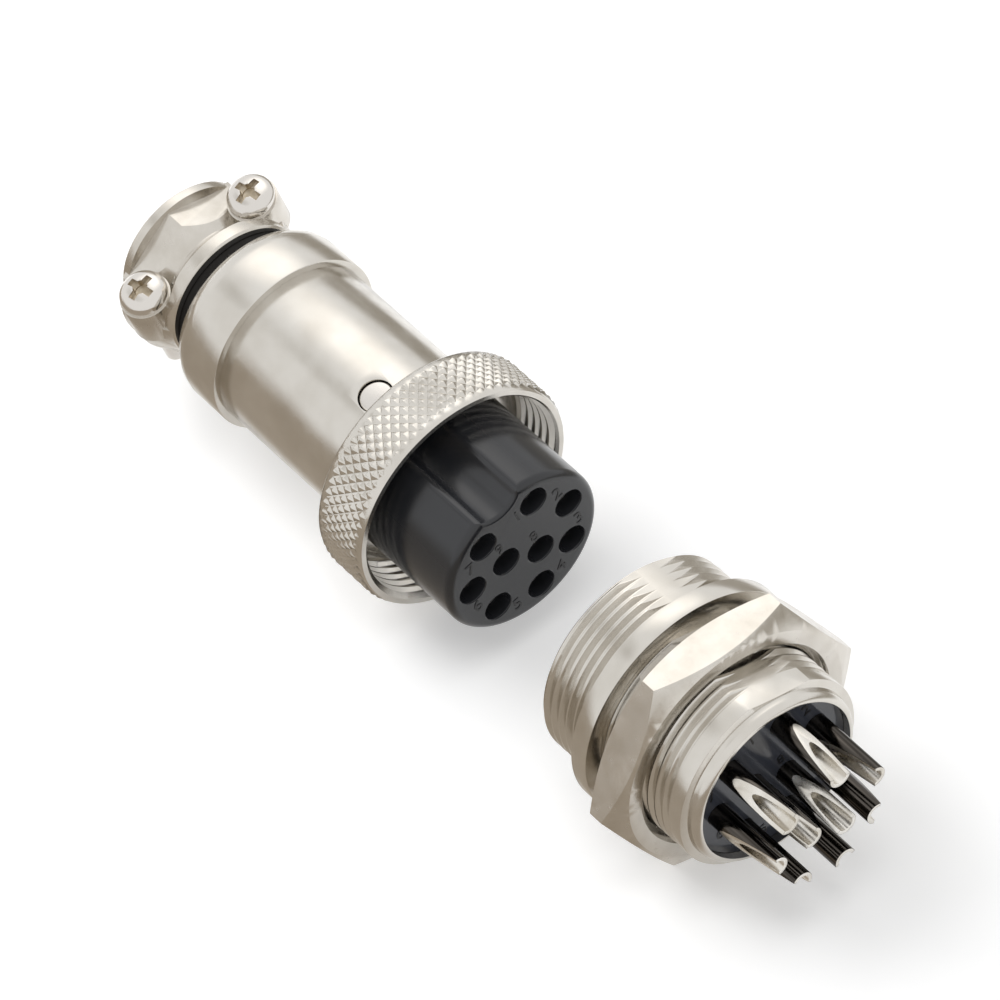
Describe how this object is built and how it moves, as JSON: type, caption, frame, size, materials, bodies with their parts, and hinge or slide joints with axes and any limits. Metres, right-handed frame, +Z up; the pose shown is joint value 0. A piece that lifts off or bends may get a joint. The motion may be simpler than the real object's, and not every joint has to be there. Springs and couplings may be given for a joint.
{
  "type": "circular aviation plug connector",
  "caption": "Circular multi-pole connector in nickel-plated metal: cable plug with knurled coupling ring and cable clamp, and its panel socket with flange, hex nut and solder cups.",
  "frame": {"origin": "centre of the rear face of the panel socket's flange, on the connector's axis", "axes": "+X along the axis from the cable end towards the solder cups of the socket; +Z is up, square to a flat of the hex nut"},
  "size_m": [0.0928, 0.0288, 0.025],
  "materials": {
    "nickel_plate": "bright nickel plate over a fine cast and turned surface",
    "screw_plate": "bright nickel plate on small screws",
    "silver_contact": "silver plate, polished",
    "black_plastic": "moulded black plastic, semi-gloss",
    "black_rubber": "smooth black rubber"
  },
  "bodies": {
    "plug": {"barrel": "nickel_plate", "plug_insert": "black_plastic", "insert_screw": "screw_plate", "plug_contact_1": "silver_contact", "plug_contact_2": "silver_contact", "plug_contact_3": "silver_contact", "plug_contact_4": "silver_contact", "plug_contact_5": "silver_contact", "plug_contact_6": "silver_contact", "plug_contact_7": "silver_contact", "plug_contact_8": "silver_contact", "plug_contact_9": "silver_contact", "tail_ring": "nickel_plate", "cable_sleeve": "black_rubber", "clamp_body": "nickel_plate", "clamp_screw_1": "screw_plate", "clamp_screw_2": "screw_plate"},
    "coupling_ring": {"coupling_ring": "nickel_plate"},
    "clamp_saddle": {"clamp_saddle": "nickel_plate"},
    "socket": {"socket_shell": "nickel_plate", "socket_insert": "black_plastic", "pin_1": "silver_contact", "pin_2": "silver_contact", "pin_3": "silver_contact", "pin_4": "silver_contact", "pin_5": "silver_contact", "pin_6": "silver_contact", "pin_7": "silver_contact", "pin_8": "silver_contact", "pin_9": "silver_contact"},
    "hex_nut": {"hex_nut": "nickel_plate"}
  },
  "joints": [
    {"name": "ring_spin", "type": "hinge", "parent": "plug", "child": "coupling_ring", "pos_m": [-0.0356, 0, 0], "axis": [1, 0, 0], "continuous": true},
    {"name": "mate_slide", "type": "slide", "parent": "plug", "child": "socket", "axis": [-1, 0, 0], "range_m": [0, 0.028]},
    {"name": "nut_slide", "type": "slide", "parent": "socket", "child": "hex_nut", "axis": [1, 0, 0], "range_m": [-0.002, 0.02]},
    {"name": "saddle_slide", "type": "slide", "parent": "plug", "child": "clamp_saddle", "axis": [0, 0.2453, -0.9694], "range_m": [0, 0.0015]}
  ]
}
